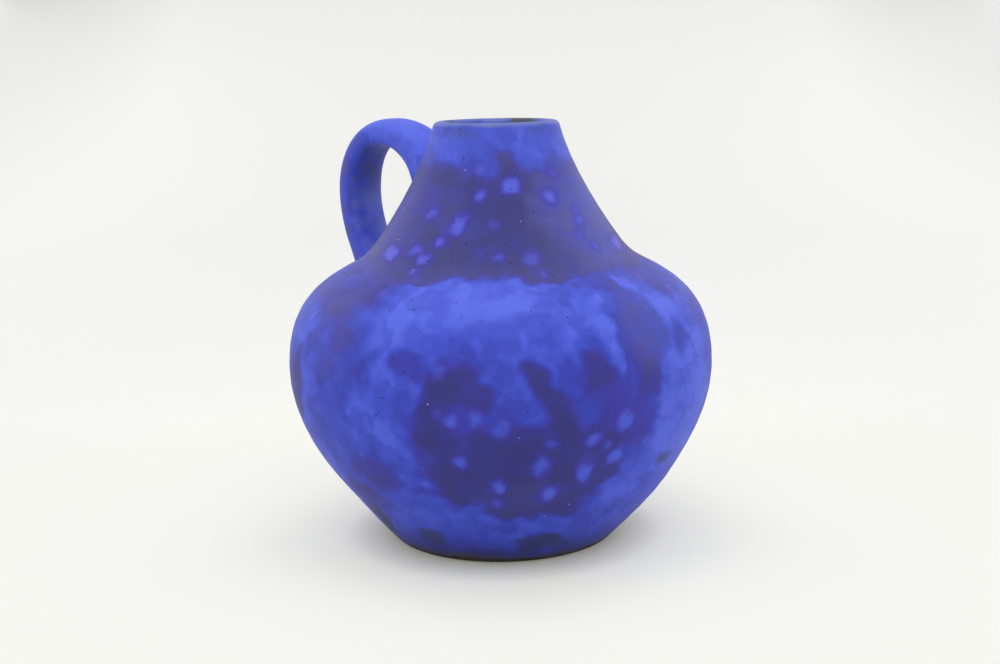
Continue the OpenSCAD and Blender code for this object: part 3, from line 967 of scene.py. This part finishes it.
@dataclass(frozen=True)
class BrownStoneware:
    """Fired iron-bearing stoneware, trimmed on the wheel: dull brown grey with darker and paler grog."""

    name: str = "brown_stoneware"
    body: str = "#4b4038"
    dark: str = "#2f2824"
    grog: str = "#7d6c5b"

    def material(self) -> bpy.types.Material:
        """Builds the material.

        Returns:
            The node material.
        """
        made, shader, add, here = new_material(self.name)
        # Toasting in patches of 14 mm, grains of grog in cells of 2.2 mm
        toast = add("ShaderNodeValToRGB", add(NOISE, Vector=here, Scale=per_mm(14.0), Detail=4.0))
        set_ramp(toast.node, (0.3, self.dark), (0.6, self.body))
        cells = add(CELLS, out=None, Vector=here, Scale=per_mm(2.2))
        luck = add("ShaderNodeSeparateColor", cells["Color"])
        size = add(RANGE, luck, 0.5, 1.0, 0.0, 0.25)
        depth = add(MATH, size, cells["Distance"], operation="SUBTRACT")
        grain = add(RANGE, depth, -0.05, 0.05, 0.0, 0.8)
        fine = add(NOISE, Vector=here, Scale=per_mm(0.8), Detail=3.0)
        high = add(MATH, grain, 0.8, fine, operation="MULTIPLY_ADD")
        ends = {"A": toast, "B": linear(self.grog)}
        look = {
            "Base Color": add(MIX, out="Result", Factor=grain, data_type="RGBA", **ends),
            "Normal": add("ShaderNodeBump", Height=high, Strength=0.7, Distance=0.2 * MM),
            "Roughness": 0.9,
            "Specular IOR Level": 0.3,
        }
        feed(shader, look)
        return made


@dataclass(frozen=True)
class OliveLinerGlaze:
    """Thin liner glaze, poured in and out: grey olive over the clay, bluer where it pooled, satin gloss."""

    thin: str = "#43423b"
    body: str = "#565d58"
    pooled: str = "#46527a"

    def material(self) -> bpy.types.Material:
        """Builds the material.

        Returns:
            The node material.
        """
        made, shader, add, here = new_material("olive_liner_glaze")
        # Runs of 18 mm, drawn out down the wall, with a mottle of 3 mm
        drawn = add("ShaderNodeMapping", Vector=here, Scale=(1.0, 1.0, 0.35))
        runs = add(NOISE, Vector=drawn, Scale=per_mm(18.0), Detail=3.0)
        mottle = add(NOISE, Vector=here, Scale=per_mm(3.0), Detail=3.0)
        colour = add("ShaderNodeValToRGB", add(MATH, mottle, 0.4, runs, operation="MULTIPLY_ADD"))
        set_ramp(colour.node, (0.5, self.thin), (0.68, self.body), (0.88, self.pooled))
        relief = add("ShaderNodeBump", Height=mottle, Strength=0.4, Distance=0.15 * MM)
        feed(shader, {"Base Color": colour, "Normal": relief, "Roughness": 0.38})
        return made


@dataclass(frozen=True)
class PaperSweep:
    """Matte white background paper: a soft even white with no grain at this distance."""

    paper: str = "#d7d8d9"
    # Colours of the glow near the vase, where it makes up for blue light from the glaze, and far from it
    near_glow: str = "#fffde4"
    far_glow: str = "#fffdf2"
    # Distances from the middle of the vase in metres over which the first turns into the second
    glow_turn: tuple[float, float] = (0.1, 0.45)
    # Distance from the middle of the vase in metres and how much the paper glows there; the glow rises a few
    # centimetres out from the foot, painted light that lightens the vase's shadow there
    glow: tuple[tuple[float, float], ...] = (
        (0.04, 0.12), (0.059, 0.4), (0.12, 0.32), (0.4, 0.27), (0.8, 0.27), (1.25, 0.16)
    )
    # More glow behind the vase, out to these distances to each side in metres
    behind: float = 0.175
    behind_reach: tuple[float, float] = (0.38, 0.56)

    def material(self) -> bpy.types.Material:
        """Builds the material, which is a little brighter to the camera than the light on it makes it.

        Returns:
            The node material.
        """
        made, shader, add, here = new_material("white_paper_sweep")
        rays = add("ShaderNodeLightPath", out=None)
        seen = rays["Is Camera Ray"]
        for ray in ("Is Glossy Ray", "Is Transmission Ray"):
            seen = add(MATH, seen, rays[ray], operation="MAXIMUM")
        far = add(VECTOR, here, out="Value", operation="LENGTH")
        ends = {"A": linear(self.near_glow), "B": linear(self.far_glow)}
        glow = self.glow[0][1]
        for (near, low), (end, high) in zip(self.glow, self.glow[1:]):
            glow = add(MATH, add(RANGE, far, near, end, 0.0, high - low), glow, operation="ADD")
        aside = add(VECTOR, here, RIGHT, out="Value", operation="DOT_PRODUCT")
        aside = add(MATH, aside, operation="ABSOLUTE")
        beside = add(RANGE, aside, *self.behind_reach, self.behind, 0.0)
        (start, _), (stop, _) = self.glow[-2:]
        glow = add(MATH, beside, add(RANGE, far, start, stop), glow, operation="MULTIPLY_ADD")
        turned = add(RANGE, far, *self.glow_turn)
        look = {
            "Base Color": linear(self.paper),
            "Roughness": 0.95,
            "Specular IOR Level": 0.1,
            "Emission Color": add(MIX, out="Result", Factor=turned, data_type="RGBA", **ends),
            "Emission Strength": add(MATH, seen, glow, operation="MULTIPLY"),
        }
        feed(shader, look)
        return made


@dataclass(frozen=True)
class ThrownVessel:
    """The vase without its handle: clay, outer glaze and liner, all turned from one silhouette."""

    outline: Silhouette
    layout: GlazeLayout
    lathe: TurnedSurface
    # Steps up each curve of a face that shows, of the clay, of its hollow and of the liner's hidden back
    steps: int = 56
    clay_steps: int = 40
    hollow_steps: int = 30
    back_steps: int = 12
    # Steps over the lip of the glaze and of the clay, and round the edge of the foot
    lip_steps: int = 18
    clay_lip_steps: int = 10
    foot_steps: int = 6
    # Rows closer than this to the start of the wall are left out
    least_gap: float = 0.3
    sway: float = 0.25
    sway_size: float = 70.0
    seed: float = 4.0
    # For each layer, steps round the axis, and depth and pitch of its throwing marks
    glaze_turn: tuple[int, float, float] = (360, 0.05, 7.0)
    clay_turn: tuple[int, float, float] = (240, 0.35, 3.2)
    liner_turn: tuple[int, float, float] = (240, 0.3, 8.0)
    # Distance below the top of the lip down to which there are no marks
    plain_lip: float = 6.0
    # Marks under the foot run from this far from the axis to this far from its ring
    foot_marked: tuple[float, float] = (3.0, 2.0)
    # Distance of the middle row of the ring from its inner edge
    ring_row: float = 3.0
    # Distances from the axis and from its upper edge over which the liner's marks set in
    liner_fade: tuple[float, float] = (8.0, 4.0)
    # The hidden back of the glaze keeps one row in so many, and that of the liner lies this far off the clay
    back_rows: int = 5
    liner_gap: float = 0.02
    # The lower wall leans to the right of the photograph
    lean: float = 0.85
    lean_z: float = 18.0
    lean_reach: float = 11.0
    # Waves of the lower edge of the glaze: depth, count round the foot and phase; then the lowest that they
    # go, and how high they reach up the coat
    fray_waves: tuple[tuple[float, int, float], ...] = ((0.35, 5, 0.6), (0.25, 11, 2.1), (0.2, 23, 4.0))
    fray_low: float = -0.5
    fray_reach: float = 5.0
    # Height over which the clay draws back under the edge of the glaze
    tuck: float = 3.5

    def turned(
        self,
        name: str,
        line: np.ndarray,
        marks: np.ndarray,
        turn: tuple[int, float, float],
        finish: bpy.types.Material,
    ) -> bpy.types.Object:
        """Turns one outline with the sway and the lean that all the layers share.

        Args:
            name: Name of the piece.
            line: Rows of radius and height.
            marks: Weight of the throwing marks at each row.
            turn: Steps round the axis, depth of the marks and their pitch.
            finish: Its material.

        Returns:
            The piece.
        """
        segments, depth, pitch = turn
        return self.lathe.make(
            name,
            line,
            marks,
            segments=segments,
            mark_depth=depth * MM,
            mark_pitch=pitch * MM,
            sway=self.sway * MM,
            sway_size=self.sway_size * MM,
            seed=self.seed,
            lean=tuple(self.lean * MM * c for c in RIGHT),
            lean_height=self.lean_z * MM,
            lean_reach=self.lean_reach * MM,
            material=finish,
        )

    def glaze(self, finish: bpy.types.Material) -> bpy.types.Object:
        """Builds the outer glaze as a thin closed coat with a ragged lower edge.

        Args:
            finish: Its material.

        Returns:
            The coat.
        """
        o = self.outline
        wall = o.outside(self.steps)
        low = o.glaze_low
        edge = [[np.interp(low, wall[:, 1], wall[:, 0]), low]]
        mouth = o.inner(self.steps, o.glaze_t)
        mouth = mouth[mouth[:, 1] > o.height - o.mouth_dip]
        lip = o.lip(o.lip_r, self.lip_steps)[1:-1]
        front = np.concatenate([edge, wall[wall[:, 1] > low + self.least_gap], lip, mouth])
        rising = np.clip((front[:, 1] - low) / o.glaze_ramp, 0, 1)
        coat = o.glaze_edge_t + (o.glaze_t - o.glaze_edge_t) * rising
        back = front + coat[:, None] * left_of(front)
        keep = np.unique(np.concatenate([np.arange(0, len(back), self.back_rows), [len(back) - 1]]))
        line = np.concatenate([front, back[keep][::-1], front[:1]])
        marks = np.concatenate([np.ones(len(front)), np.zeros(len(keep) + 1)])
        marks[line[:, 1] > o.height - self.plain_lip] = 0.0
        piece = self.turned("cobalt_coat", line, marks, self.glaze_turn, finish)
        self.fray(piece.data)
        self.layout.paint(piece.data)
        return piece

    def fray(self, mesh: bpy.types.Mesh) -> None:
        """Lets the lower edge of the coat rise and fall along the wall by up to a millimetre.

        Args:
            mesh: The coat.
        """
        points = vertices_of(mesh)
        bearing = np.arctan2(points[:, 1], points[:, 0])
        rise = sum(depth * np.sin(count * bearing + phase) for depth, count, phase in self.fray_waves)
        near = 1 - smooth(0.0, self.fray_reach, points[:, 2] - self.outline.glaze_low)
        lift = np.maximum(rise, self.fray_low) * near
        slope = toward(self.outline.foot_angle)
        grow = 1 + lift * slope[0] / slope[1] / np.hypot(points[:, 0], points[:, 1])
        points[:, :2] *= grow[:, None]
        points[:, 2] += lift
        mesh.vertices.foreach_set("co", (points * MM).astype(np.float32).ravel())
        mesh.update()

    def clay(self, finish: bpy.types.Material) -> bpy.types.Object:
        """Builds the clay under the glaze, with its trimmed foot.

        Args:
            finish: Its material.

        Returns:
            The clay body.
        """
        o = self.outline
        wall = o.outside(self.clay_steps)
        ring_in = o.foot_d / 2 - o.foot_ring_w
        table = wall[0]
        ring_out = table - [o.foot_round, 0.0]
        round_end = table + o.foot_round * toward(o.foot_angle)
        disc = np.linspace([0.0, o.recess_h], [ring_in - o.recess_h, o.recess_h], self.clay_steps)
        ring = [[ring_in, 0.0], [ring_in + self.ring_row, 0.0], ring_out]
        foot = np.concatenate([disc, ring, bend(ring_out, table, round_end, self.foot_steps), [round_end]])
        glazed = o.glaze_low + self.tuck
        bare = wall[(wall[:, 1] > round_end[1] + self.least_gap) & (wall[:, 1] < glazed)]
        bare = bare + np.clip((bare[:, 1:] - o.glaze_low) / self.tuck, 0, 1) * o.glaze_t * left_of(bare)
        covered = wall[wall[:, 1] >= glazed]
        under = covered + o.glaze_t * left_of(covered)
        lip = o.lip(o.lip_wall / 2, self.clay_lip_steps)
        line = np.concatenate([foot, bare, under[:-1], lip, o.hollow(self.hollow_steps, 0.0)[1:]])
        first, last = self.foot_marked
        low = line[:, 1] <= o.recess_h
        marks = np.where(low & (line[:, 0] < ring_in - last) & (line[:, 0] > first), 1.0, 0.0)
        return self.turned("thrown_clay", line, marks, self.clay_turn, finish)

    def liner(self, finish: bpy.types.Material) -> bpy.types.Object:
        """Builds the liner glaze on the inner wall, with the throwing marks that show through it.

        Args:
            finish: Its material.

        Returns:
            The liner.
        """
        o = self.outline
        top = o.height - o.mouth_dip
        face = o.hollow(self.steps, o.liner_t)
        face = face[face[:, 1] < top]
        back = o.hollow(self.back_steps, self.liner_gap)
        back = back[back[:, 1] < top][::-1]
        line = np.concatenate([face, back, face[:1]])
        inner, upper = self.liner_fade
        away = np.clip(line[:, 0] / inner, 0, 1) * np.clip((top - line[:, 1]) / upper, 0, 1)
        marks = np.where(np.arange(len(line)) < len(face), away, 0.0)
        return self.turned("liner_coat", line, marks, self.liner_turn, finish)


@dataclass(frozen=True)
class StrapHandle:
    """The pulled strap from the neck to the shoulder, with its glaze run into the body at both roots."""

    outline: Silhouette
    layout: GlazeLayout
    strap_w: float = 18.0
    strap_t: float = 8.0
    taper_in: float = 6.4
    taper_len: float = 44.0
    strap_square: float = 2.5
    upper_drop: float = 15.6
    upper_angle: float = 44.5
    upper_pull: float = 41.0
    lower_drop: float = 7.1
    lower_angle: float = 58.0
    lower_pull: float = 42.5
    # How much a fillet adds to the side, the back and the inside of the strap, and how far it runs along it
    upper_fillet: tuple[float, float, float] = (1.0, 1.0, 1.2)
    upper_fillet_len: float = 12.0
    lower_fillet: tuple[float, float, float] = (1.0, 0.6, 3.0)
    lower_fillet_len: float = 10.0
    sides: int = 64
    rings: int = 150
    # Steps of the curve before it is divided evenly; rings that run on into the body, and how deep they lie
    curve_steps: int = 400
    root_rings: int = 12
    root_depths: tuple[float, float] = (12.0, 0.4)
    # Reach of the small fillet of glaze at a root, and its steps
    landing: float = 2.6
    landing_steps: int = 10
    # Shares to which a root shrinks, ring by ring, where it is closed, and how far that is under the glaze
    cap_shares: tuple[float, ...] = (0.8, 0.55, 0.3, 0.08)
    cap_depth: float = 0.4
    # How far the edge of a root lies under the glaze of the body
    edge_depth: float = 0.02
    # Waves that pulling left along the strap: depth, turn in radians over its length, and phase
    pull_waves: tuple[tuple[float, float, float], ...] = ((0.1, 9.0, 1.0), (0.06, 23.0, 0.4))

    def tube(self) -> np.ndarray:
        """Rings of the glazed strap, run on into the body at both ends.

        Returns:
            Points in millimetres, by ring and by side.
        """
        o = self.outline
        seats = np.array([o.height - self.upper_drop, o.crease_z - self.lower_drop])
        neck, shoulder = np.stack([o.radius_at(seats), seats], axis=1)
        up, low = toward(self.upper_angle), toward(self.lower_angle)
        curve = [neck, neck + self.upper_pull * up, shoulder + self.lower_pull * low, shoulder]
        line = evenly(on_cubic(curve, np.linspace(0, 1, self.curve_steps)), self.rings)
        run = lengths(line)
        sunk = np.linspace(*self.root_depths, self.root_rings)[:, None]
        line = np.concatenate([neck - sunk * up, line, shoulder - sunk[::-1] * low])
        seat = np.concatenate([np.zeros(self.root_rings), run, np.full(self.root_rings, run[-1])])

        fade_up = np.clip(1 - seat / self.upper_fillet_len, 0, 1) ** 2
        fade_low = np.clip(1 - (run[-1] - seat) / self.lower_fillet_len, 0, 1) ** 2
        spread = np.outer(fade_up, self.upper_fillet) + np.outer(fade_low, self.lower_fillet)
        half = np.array([self.strap_w / 2, self.strap_t / 2, self.strap_t / 2]) + o.glaze_t + spread
        half[:, 2] += self.taper_in * np.clip(1 - seat / self.taper_len, 0, 1) ** 2

        angle = np.linspace(0, math.tau, self.sides, endpoint=False)
        waves = (np.cos(angle), np.sin(angle))
        across, thick = (np.sign(w) * np.abs(w) ** (2 / self.strap_square) for w in waves)
        depth = np.where(thick > 0, half[:, 1:2] * thick, half[:, 2:3] * thick)
        flat = line[:, None, :] + depth[:, :, None] * left_of(line)[:, None, :]
        return np.stack([-flat[:, :, 0], half[:, :1] * across, flat[:, :, 1]], axis=2)

    def landed(self, line: np.ndarray, axis: np.ndarray, body: BVHTree) -> np.ndarray:
        """Runs one line of the strap down to the body and out over it in a small fillet.

        Args:
            line: Points from the middle of the strap toward a root, in millimetres.
            axis: Matching points on the strap's middle line.
            body: The outer glaze of the body, in metres.

        Returns:
            The same number of points for any line.
        """
        for i in range(len(line) - 1):
            start, step = Vector(line[i] * MM), Vector((line[i + 1] - line[i]) * MM)
            hit, normal, _, _ = body.ray_cast(start, step.normalized(), step.length)
            if hit is not None:
                break
        else:
            raise ValueError("a line of the strap does not reach the body")
        met = np.array(hit) / MM
        path = np.concatenate([line[: i + 1], [met]])
        run = lengths(path)
        stop = run[-1] - self.landing
        near = np.array([np.interp(stop, run, path[:, k]) for k in range(3)])
        kept = np.concatenate([path[run < stop - self.edge_depth], [near]])
        away = Vector(met - axis[i])
        away -= away.dot(normal) * normal
        ground, face, _, _ = body.find_nearest((Vector(met) + away.normalized() * self.landing) * MM)
        ground = np.array(ground - face * self.edge_depth * MM) / MM
        fillet = bend(near, met, ground, self.landing_steps)
        return np.concatenate([evenly(kept, self.rings // 2), fillet, [ground]])

    def cap(self, ring: np.ndarray, body: BVHTree) -> np.ndarray:
        """Rings that close a root just under the glaze of the body, from its edge to its middle.

        Args:
            ring: The landed ring.
            body: The outer glaze of the body, in metres.

        Returns:
            Smaller rings, by ring and by side.
        """
        middle = ring.mean(axis=0)
        deep = self.cap_depth * MM
        shrunk = []
        for share in self.cap_shares:
            found = [body.find_nearest(Vector(p * MM)) for p in middle + share * (ring - middle)]
            shrunk.append([np.array(ground - face * deep) / MM for ground, face, _, _ in found])
        return np.array(shrunk)

    def glaze(self, body: bpy.types.Object, finish: bpy.types.Material) -> bpy.types.Object:
        """Builds the glazed strap.

        Args:
            body: The outer glaze of the body, which the roots land on.
            finish: Its material.

        Returns:
            The strap as one closed piece.
        """
        mesh = body.data
        tree = BVHTree.FromPolygons([v.co for v in mesh.vertices], [p.vertices for p in mesh.polygons])
        rings = self.tube()
        axis = rings.mean(axis=1)
        half = len(rings) // 2
        up, low = (
            np.stack([self.landed(rings[way, k], axis[way], tree) for k in range(self.sides)], axis=1)
            for way in (slice(half, None, -1), slice(half, None))
        )
        walls = np.concatenate([up[::-1], low[1:]])
        walls = walls + self.unevenness(walls)
        stack = np.concatenate([self.cap(walls[0], tree)[::-1], walls, self.cap(walls[-1], tree)])
        count, sides = stack.shape[:2]
        points = [tuple(p) for p in (stack.reshape(-1, 3) * MM)]
        faces = [
            (start + k, start + (k + 1) % sides, start + sides + (k + 1) % sides, start + sides + k)
            for start in range(0, (count - 1) * sides, sides)
            for k in range(sides)
        ]
        faces.append(tuple(range(sides - 1, -1, -1)))
        faces.append(tuple((count - 1) * sides + k for k in range(sides)))
        made = bpy.data.meshes.new("cobalt_strap")
        made.from_pydata(points, [], faces)
        made.materials.append(finish)
        along = np.repeat(np.linspace(0, 1, count), sides)
        face = np.tile(np.sin(np.linspace(0, math.tau, sides, endpoint=False)), count)
        self.layout.paint_strap(made, along, face)
        return finished("cobalt_strap", made, crisp=70.0)

    def unevenness(self, walls: np.ndarray) -> np.ndarray:
        """Slow waves of a tenth of a millimetre that pulling leaves along a strap, none at the roots.

        Args:
            walls: Points of the strap, by ring and by side.

        Returns:
            How far each point moves.
        """
        along = np.linspace(0, 1, len(walls))[:, None]
        ease = np.sin(math.pi * along) ** 0.5
        out = walls - walls.mean(axis=1, keepdims=True)
        out = out / np.maximum(np.linalg.norm(out, axis=2, keepdims=True), 1e-6)
        wave = sum(depth * np.sin(turn * along + phase) for depth, turn, phase in self.pull_waves)
        return out * (wave * ease)[:, :, None]


@dataclass(frozen=True)
class Studio:
    """White paper cove, soft light from above and from all round, and the photograph's camera."""

    cove_r: float = 1700.0
    cove_bend: float = 1150.0
    cove_h: float = 1500.0
    # The paper lies this far under the foot; its rings on the floor and steps of its bend and round the axis
    cove_gap: float = 0.05
    cove_rings: int = 12
    cove_bend_steps: int = 24
    cove_segments: int = 96
    camera_range: float = 520.0
    camera_h: float = 171.7
    aim_h: float = 75.0
    focal_px: float = 1454.45
    frame_px: float = 1000.0
    roll: float = -1.056
    shift_px: float = -3.49
    sky: float = 0.5
    sky_colour: str = "#fffefb"
    # Soft square lamps: name, angle to the right of the camera's side, angle above the table, side in metres
    # and watts
    boxes: tuple[tuple[str, float, float, float, float], ...] = (
        ("overhead", 0.0, 88.0, 1.2, 7.0),
        ("front", 0.0, 22.0, 0.7, 1.8),
        ("left", -75.0, 22.0, 0.7, 1.8),
        ("right", 75.0, 22.0, 0.7, 1.8),
        ("back_left", -140.0, 22.0, 0.7, 1.8),
        ("back_right", 140.0, 22.0, 0.7, 1.8),
    )
    # Distance of the lamps from the vase in metres
    box_reach: float = 1.3

    def cove(self, lathe: TurnedSurface, finish: bpy.types.Material) -> bpy.types.Object:
        """Builds the floor that curves up into a wall all round.

        Args:
            lathe: The turning tree.
            finish: The paper.

        Returns:
            The cove.
        """
        flat = np.linspace([0.0, 0.0], [self.cove_r - self.cove_bend, 0.0], self.cove_rings)
        corner = np.array([self.cove_r, 0.0])
        rise = corner + [0.0, self.cove_bend]
        top = rise + [0.0, self.cove_h - self.cove_bend]
        line = np.concatenate([flat, bend(flat[-1], corner, rise, self.cove_bend_steps), [rise, top]])
        line[:, 1] -= self.cove_gap
        plain = np.zeros(len(line))
        piece = lathe.make("paper_cove", line, plain, segments=self.cove_segments, material=finish)
        work = bmesh.new()
        work.from_mesh(piece.data)
        if sum(face.normal.z for face in work.faces) < 0:
            bmesh.ops.reverse_faces(work, faces=work.faces)
        work.to_mesh(piece.data)
        work.free()
        return piece

    def light(self) -> None:
        """Sets the sky and the lamps, which look at the vase."""
        world = bpy.data.worlds.new("white_sky")
        world.use_nodes = True
        feed(world.node_tree.nodes["Background"], {"Color": linear(self.sky_colour), "Strength": self.sky})
        bpy.context.scene.world = world
        for name, turn, rise, size, power in self.boxes:
            data = bpy.data.lights.new(f"{name}_box", "AREA")
            data.shape = "SQUARE"
            data.size = size
            data.energy = power
            lamp = bpy.data.objects.new(f"{name}_box", data)
            (x, y), (level, high) = toward(FRONT_BEARING + turn), toward(rise)
            back = Vector((x * level, y * level, high))
            lamp.location = Vector((0, 0, self.aim_h * MM)) + back * self.box_reach
            lamp.rotation_mode = "QUATERNION"
            lamp.rotation_quaternion = (-back).to_track_quat("-Z", "Y")
            lamp.visible_camera = False
            link(lamp)

    def camera(self) -> None:
        """Sets the camera where the photograph was taken from."""
        data = bpy.data.cameras.new("photograph_camera")
        data.sensor_width = 36.0
        data.lens = self.focal_px * data.sensor_width / self.frame_px
        data.shift_y = self.shift_px / self.frame_px
        data.clip_start = 0.01
        camera = bpy.data.objects.new("photograph_camera", data)
        place = Vector((*toward(FRONT_BEARING) * self.camera_range, self.camera_h))
        look = Vector((0.0, 0.0, self.aim_h)) - place
        roll = Matrix.Rotation(math.radians(self.roll), 4, "Z")
        turn = look.to_track_quat("-Z", "Y").to_matrix().to_4x4() @ roll
        camera.matrix_world = Matrix.Translation(place * MM) @ turn
        link(camera)
        bpy.context.scene.camera = camera


def dress(piece: bpy.types.Object, slot: Slot, *nodes: str) -> None:
    """Fixes a piece to the body and hides the CAD nodes that it stands for.

    Args:
        piece: The piece.
        slot: Its slot in the record; not used.
        *nodes: The CAD nodes that it replaces.
    """
    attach(piece, BODY)
    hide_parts(*nodes)
    LOG.info("%s: %d faces, stands for %s", piece.name, len(piece.data.polygons), ", ".join(nodes))


def recoat(node: bpy.types.Object, finish: bpy.types.Material) -> None:
    """Gives a CAD node a better material.

    Args:
        node: The node.
        finish: Its new material.
    """
    node.data.materials.clear()
    node.data.materials.append(finish)
    LOG.info("%s: keeps its CAD shape in %s", node.name, finish.name)


def main() -> None:
    """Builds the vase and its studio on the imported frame."""
    logging.basicConfig(level=logging.INFO, format="%(name)s: %(message)s")
    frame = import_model()
    outline = Silhouette()
    layout = GlazeLayout(outline)
    lathe = TurnedSurface()
    cobalt = MatteCobaltGlaze().material()
    stoneware = BrownStoneware().material()
    slip = BrownStoneware("luting_slip", "#5c4e43", "#43372f", "#82715f").material()

    vessel = ThrownVessel(outline, layout, lathe)
    coat = vessel.glaze(cobalt)
    strap = StrapHandle(outline, layout).glaze(coat, cobalt)
    dress(vessel.clay(stoneware), Slot.CLAY, "thrown_body")
    dress(coat, Slot.COBALT, "body_glaze")
    dress(vessel.liner(OliveLinerGlaze().material()), Slot.LINER, "liner_glaze")
    dress(strap, Slot.COBALT, "handle_glaze")
    recoat(frame["nodes"]["strap_handle"], stoneware)
    for name in ("upper_root_fillet", "lower_root_fillet"):
        recoat(frame["nodes"][name], slip)

    studio = Studio()
    studio.cove(lathe, PaperSweep().material())
    studio.light()
    studio.camera()
    bpy.context.scene.view_settings.view_transform = "Standard"


if __name__ == "__main__":
    main()
